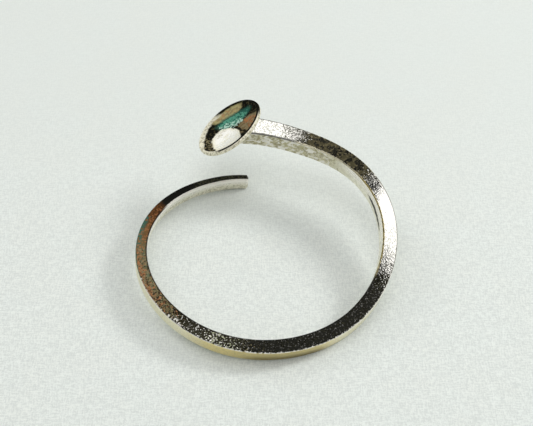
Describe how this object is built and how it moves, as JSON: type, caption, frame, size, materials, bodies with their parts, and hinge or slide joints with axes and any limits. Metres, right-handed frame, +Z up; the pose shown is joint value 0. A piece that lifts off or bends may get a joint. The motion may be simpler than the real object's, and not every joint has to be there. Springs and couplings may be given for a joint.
{
  "type": "nail bracelet",
  "caption": "Open metal bracelet bent from a tapering square bar like a nail, climbing once round the wrist, with a dished round head set at a slant on the thick end",
  "frame": {"origin": "middle of the underside of the bracelet's overall box, on the surface it lies on", "axes": "+Z up as it lies on its side, which is also the way the wrist goes through; +Y away from the viewer, towards the two ends of the bar; +X to the viewer's right"},
  "size_m": [0.065, 0.0676, 0.0251],
  "materials": {
    "silver_plate": "bright plate over warm metal, lightly pitted and tarnished"
  },
  "bodies": {
    "root": {"nail_bangle": "silver_plate"}
  },
  "joints": []
}
